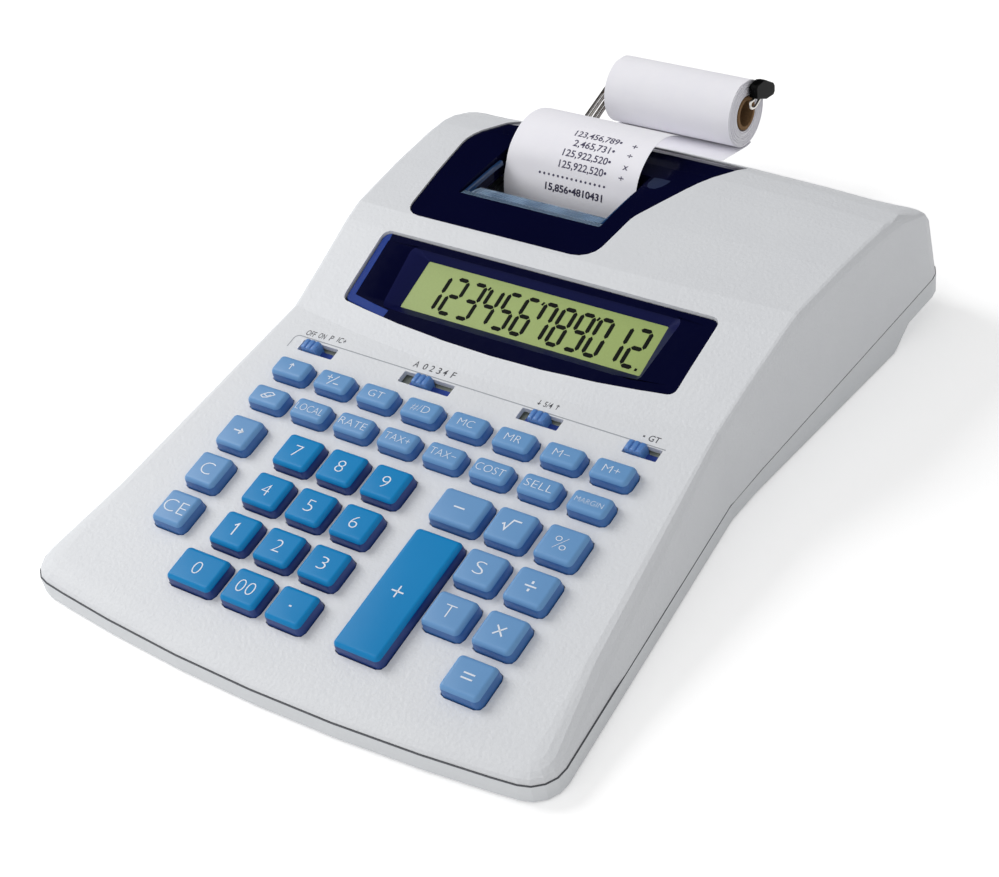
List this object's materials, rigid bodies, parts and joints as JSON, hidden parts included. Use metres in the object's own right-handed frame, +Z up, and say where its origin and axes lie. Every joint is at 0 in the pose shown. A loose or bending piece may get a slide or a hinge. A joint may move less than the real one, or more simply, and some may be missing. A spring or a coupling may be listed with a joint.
{
  "type": "printing calculator",
  "caption": "Desktop printing calculator with a sloping keyboard, a display behind it and a paper roll on a wire holder at the back.",
  "frame": {"origin": "on the table under the middle of the whole machine, the paper roll holder included", "axes": "+Z up, +Y from the keyboard to the paper roll at the back, +X to the user's right"},
  "size_m": [0.2116, 0.3314, 0.0625],
  "materials": {
    "case_white": "fine grain",
    "case_grey": "fine grain",
    "smoked_plastic": "polished, dark blue",
    "lcd_green": "liquid crystal panel",
    "digit_blue": "satin",
    "function_blue": "satin",
    "clear_blue": "clear blue",
    "paper_white": "thermal or bond roll paper",
    "card_brown": "plain card tube",
    "spring_wire": "bright spring wire",
    "black_plastic": "moulded",
    "frame_steel": "sheet steel",
    "board_green": "glass-fibre circuit board"
  },
  "bodies": {
    "case": {"upper_case": "case_white", "lower_case": "case_grey", "display_window": "smoked_plastic", "lcd_panel": "lcd_green", "printer_cover": "smoked_plastic", "tear_bar": "clear_blue", "paper_strip": "paper_white", "holder_arm_left": "spring_wire", "holder_arm_right": "spring_wire", "print_mechanism": "frame_steel", "circuit_board": "board_green"},
    "roll": {"paper_roll": "paper_white", "roll_core": "card_brown"},
    "platen": {"platen_roller": "black_plastic"},
    "clip": {"holder_clip": "black_plastic"},
    "door": {"battery_door": "case_grey"},
    "switch_power": {"switch_power": "function_blue"},
    "switch_decimal": {"switch_decimal": "function_blue"},
    "switch_rounding": {"switch_rounding": "function_blue"},
    "switch_total": {"switch_total": "function_blue"},
    "key_up": {"key_up": "function_blue"},
    "key_sign": {"key_sign": "function_blue"},
    "key_grand_total": {"key_grand_total": "function_blue"},
    "key_number_date": {"key_number_date": "function_blue"},
    "key_mc": {"key_mc": "function_blue"},
    "key_mr": {"key_mr": "function_blue"},
    "key_m_minus": {"key_m_minus": "function_blue"},
    "key_m_plus": {"key_m_plus": "function_blue"},
    "key_feed": {"key_feed": "function_blue"},
    "key_local": {"key_local": "function_blue"},
    "key_rate": {"key_rate": "function_blue"},
    "key_tax_plus": {"key_tax_plus": "function_blue"},
    "key_tax_minus": {"key_tax_minus": "function_blue"},
    "key_cost": {"key_cost": "function_blue"},
    "key_sell": {"key_sell": "function_blue"},
    "key_margin": {"key_margin": "function_blue"},
    "key_shift": {"key_shift": "function_blue"},
    "key_clear": {"key_clear": "function_blue"},
    "key_clear_entry": {"key_clear_entry": "function_blue"},
    "key_root": {"key_root": "function_blue"},
    "key_subtotal": {"key_subtotal": "function_blue"},
    "key_total": {"key_total": "function_blue"},
    "key_percent": {"key_percent": "function_blue"},
    "key_divide": {"key_divide": "function_blue"},
    "key_times": {"key_times": "function_blue"},
    "key_equals": {"key_equals": "function_blue"},
    "key_minus": {"key_minus": "function_blue"},
    "key_0": {"key_0": "digit_blue"},
    "key_00": {"key_00": "digit_blue"},
    "key_point": {"key_point": "digit_blue"},
    "key_plus": {"key_plus": "digit_blue"},
    "key_1": {"key_1": "digit_blue"},
    "key_2": {"key_2": "digit_blue"},
    "key_3": {"key_3": "digit_blue"},
    "key_4": {"key_4": "digit_blue"},
    "key_5": {"key_5": "digit_blue"},
    "key_6": {"key_6": "digit_blue"},
    "key_7": {"key_7": "digit_blue"},
    "key_8": {"key_8": "digit_blue"},
    "key_9": {"key_9": "digit_blue"}
  },
  "joints": [
    {"name": "paper_roll_spin", "type": "hinge", "parent": "case", "child": "roll", "pos_m": [-0.028, 0.14825, 0.041], "axis": [1, 0, 0], "continuous": true},
    {"name": "platen_spin", "type": "hinge", "parent": "case", "child": "platen", "pos_m": [-0.028, 0.07055, 0.0356], "axis": [1, 0, 0], "continuous": true},
    {"name": "holder_clip_swing", "type": "hinge", "parent": "case", "child": "clip", "pos_m": [0.0031, 0.16335, 0.0436], "axis": [0, 0, 1], "range_deg": [0, 60]},
    {"name": "battery_door_slide", "type": "slide", "parent": "case", "child": "door", "axis": [0, 1, 0], "range_m": [0, 0.008]},
    {"name": "switch_power_slide", "type": "slide", "parent": "case", "child": "switch_power", "axis": [1, 0, 0], "range_m": [-0.0013, 0.0065]},
    {"name": "switch_decimal_slide", "type": "slide", "parent": "case", "child": "switch_decimal", "axis": [1, 0, 0], "range_m": [-0.0053, 0.0084]},
    {"name": "switch_rounding_slide", "type": "slide", "parent": "case", "child": "switch_rounding", "axis": [1, 0, 0], "range_m": [-0.0042, 0.0044]},
    {"name": "switch_total_slide", "type": "slide", "parent": "case", "child": "switch_total", "axis": [1, 0, 0], "range_m": [-0.0004, 0.0047]},
    {"name": "key_0_press", "type": "slide", "parent": "case", "child": "key_0", "axis": [0, 0.1994, -0.9799], "range_m": [0, 0.0024], "stiffness_N_per_m": 200, "springref_m": -0.0015},
    {"name": "key_00_press", "type": "slide", "parent": "case", "child": "key_00", "axis": [0, 0.1994, -0.9799], "range_m": [0, 0.0024], "stiffness_N_per_m": 200, "springref_m": -0.0015},
    {"name": "key_point_press", "type": "slide", "parent": "case", "child": "key_point", "axis": [0, 0.1994, -0.9799], "range_m": [0, 0.0024], "stiffness_N_per_m": 200, "springref_m": -0.0015},
    {"name": "key_plus_press", "type": "slide", "parent": "case", "child": "key_plus", "axis": [0, 0.1994, -0.9799], "range_m": [0, 0.0024], "stiffness_N_per_m": 200, "springref_m": -0.0015},
    {"name": "key_1_press", "type": "slide", "parent": "case", "child": "key_1", "axis": [0, 0.1994, -0.9799], "range_m": [0, 0.0024], "stiffness_N_per_m": 200, "springref_m": -0.0015},
    {"name": "key_2_press", "type": "slide", "parent": "case", "child": "key_2", "axis": [0, 0.1994, -0.9799], "range_m": [0, 0.0024], "stiffness_N_per_m": 200, "springref_m": -0.0015},
    {"name": "key_3_press", "type": "slide", "parent": "case", "child": "key_3", "axis": [0, 0.1994, -0.9799], "range_m": [0, 0.0024], "stiffness_N_per_m": 200, "springref_m": -0.0015},
    {"name": "key_4_press", "type": "slide", "parent": "case", "child": "key_4", "axis": [0, 0.1994, -0.9799], "range_m": [0, 0.0024], "stiffness_N_per_m": 200, "springref_m": -0.0015},
    {"name": "key_5_press", "type": "slide", "parent": "case", "child": "key_5", "axis": [0, 0.1994, -0.9799], "range_m": [0, 0.0024], "stiffness_N_per_m": 200, "springref_m": -0.0015},
    {"name": "key_6_press", "type": "slide", "parent": "case", "child": "key_6", "axis": [0, 0.1994, -0.9799], "range_m": [0, 0.0024], "stiffness_N_per_m": 200, "springref_m": -0.0015},
    {"name": "key_7_press", "type": "slide", "parent": "case", "child": "key_7", "axis": [0, 0.1994, -0.9799], "range_m": [0, 0.0024], "stiffness_N_per_m": 200, "springref_m": -0.0015},
    {"name": "key_8_press", "type": "slide", "parent": "case", "child": "key_8", "axis": [0, 0.1994, -0.9799], "range_m": [0, 0.0024], "stiffness_N_per_m": 200, "springref_m": -0.0015},
    {"name": "key_9_press", "type": "slide", "parent": "case", "child": "key_9", "axis": [0, 0.1994, -0.9799], "range_m": [0, 0.0024], "stiffness_N_per_m": 200, "springref_m": -0.0015},
    {"name": "key_shift_press", "type": "slide", "parent": "case", "child": "key_shift", "axis": [0, 0.1994, -0.9799], "range_m": [0, 0.0024], "stiffness_N_per_m": 200, "springref_m": -0.0015},
    {"name": "key_clear_press", "type": "slide", "parent": "case", "child": "key_clear", "axis": [0, 0.1994, -0.9799], "range_m": [0, 0.0024], "stiffness_N_per_m": 200, "springref_m": -0.0015},
    {"name": "key_clear_entry_press", "type": "slide", "parent": "case", "child": "key_clear_entry", "axis": [0, 0.1994, -0.9799], "range_m": [0, 0.0024], "stiffness_N_per_m": 200, "springref_m": -0.0015},
    {"name": "key_root_press", "type": "slide", "parent": "case", "child": "key_root", "axis": [0, 0.1994, -0.9799], "range_m": [0, 0.0024], "stiffness_N_per_m": 200, "springref_m": -0.0015},
    {"name": "key_subtotal_press", "type": "slide", "parent": "case", "child": "key_subtotal", "axis": [0, 0.1994, -0.9799], "range_m": [0, 0.0024], "stiffness_N_per_m": 200, "springref_m": -0.0015},
    {"name": "key_total_press", "type": "slide", "parent": "case", "child": "key_total", "axis": [0, 0.1994, -0.9799], "range_m": [0, 0.0024], "stiffness_N_per_m": 200, "springref_m": -0.0015},
    {"name": "key_percent_press", "type": "slide", "parent": "case", "child": "key_percent", "axis": [0, 0.1994, -0.9799], "range_m": [0, 0.0024], "stiffness_N_per_m": 200, "springref_m": -0.0015},
    {"name": "key_divide_press", "type": "slide", "parent": "case", "child": "key_divide", "axis": [0, 0.1994, -0.9799], "range_m": [0, 0.0024], "stiffness_N_per_m": 200, "springref_m": -0.0015},
    {"name": "key_times_press", "type": "slide", "parent": "case", "child": "key_times", "axis": [0, 0.1994, -0.9799], "range_m": [0, 0.0024], "stiffness_N_per_m": 200, "springref_m": -0.0015},
    {"name": "key_equals_press", "type": "slide", "parent": "case", "child": "key_equals", "axis": [0, 0.1994, -0.9799], "range_m": [0, 0.0024], "stiffness_N_per_m": 200, "springref_m": -0.0015},
    {"name": "key_minus_press", "type": "slide", "parent": "case", "child": "key_minus", "axis": [0, 0.1994, -0.9799], "range_m": [0, 0.0024], "stiffness_N_per_m": 200, "springref_m": -0.0015},
    {"name": "key_up_press", "type": "slide", "parent": "case", "child": "key_up", "axis": [0, 0.1994, -0.9799], "range_m": [0, 0.0024], "stiffness_N_per_m": 200, "springref_m": -0.0015},
    {"name": "key_sign_press", "type": "slide", "parent": "case", "child": "key_sign", "axis": [0, 0.1994, -0.9799], "range_m": [0, 0.0024], "stiffness_N_per_m": 200, "springref_m": -0.0015},
    {"name": "key_grand_total_press", "type": "slide", "parent": "case", "child": "key_grand_total", "axis": [0, 0.1994, -0.9799], "range_m": [0, 0.0024], "stiffness_N_per_m": 200, "springref_m": -0.0015},
    {"name": "key_number_date_press", "type": "slide", "parent": "case", "child": "key_number_date", "axis": [0, 0.1994, -0.9799], "range_m": [0, 0.0024], "stiffness_N_per_m": 200, "springref_m": -0.0015},
    {"name": "key_mc_press", "type": "slide", "parent": "case", "child": "key_mc", "axis": [0, 0.1994, -0.9799], "range_m": [0, 0.0024], "stiffness_N_per_m": 200, "springref_m": -0.0015},
    {"name": "key_mr_press", "type": "slide", "parent": "case", "child": "key_mr", "axis": [0, 0.1994, -0.9799], "range_m": [0, 0.0024], "stiffness_N_per_m": 200, "springref_m": -0.0015},
    {"name": "key_m_minus_press", "type": "slide", "parent": "case", "child": "key_m_minus", "axis": [0, 0.1994, -0.9799], "range_m": [0, 0.0024], "stiffness_N_per_m": 200, "springref_m": -0.0015},
    {"name": "key_m_plus_press", "type": "slide", "parent": "case", "child": "key_m_plus", "axis": [0, 0.1994, -0.9799], "range_m": [0, 0.0024], "stiffness_N_per_m": 200, "springref_m": -0.0015},
    {"name": "key_feed_press", "type": "slide", "parent": "case", "child": "key_feed", "axis": [0, 0.1994, -0.9799], "range_m": [0, 0.0024], "stiffness_N_per_m": 200, "springref_m": -0.0015},
    {"name": "key_local_press", "type": "slide", "parent": "case", "child": "key_local", "axis": [0, 0.1994, -0.9799], "range_m": [0, 0.0024], "stiffness_N_per_m": 200, "springref_m": -0.0015},
    {"name": "key_rate_press", "type": "slide", "parent": "case", "child": "key_rate", "axis": [0, 0.1994, -0.9799], "range_m": [0, 0.0024], "stiffness_N_per_m": 200, "springref_m": -0.0015},
    {"name": "key_tax_plus_press", "type": "slide", "parent": "case", "child": "key_tax_plus", "axis": [0, 0.1994, -0.9799], "range_m": [0, 0.0024], "stiffness_N_per_m": 200, "springref_m": -0.0015},
    {"name": "key_tax_minus_press", "type": "slide", "parent": "case", "child": "key_tax_minus", "axis": [0, 0.1994, -0.9799], "range_m": [0, 0.0024], "stiffness_N_per_m": 200, "springref_m": -0.0015},
    {"name": "key_cost_press", "type": "slide", "parent": "case", "child": "key_cost", "axis": [0, 0.1994, -0.9799], "range_m": [0, 0.0024], "stiffness_N_per_m": 200, "springref_m": -0.0015},
    {"name": "key_sell_press", "type": "slide", "parent": "case", "child": "key_sell", "axis": [0, 0.1994, -0.9799], "range_m": [0, 0.0024], "stiffness_N_per_m": 200, "springref_m": -0.0015},
    {"name": "key_margin_press", "type": "slide", "parent": "case", "child": "key_margin", "axis": [0, 0.1994, -0.9799], "range_m": [0, 0.0024], "stiffness_N_per_m": 200, "springref_m": -0.0015}
  ]
}
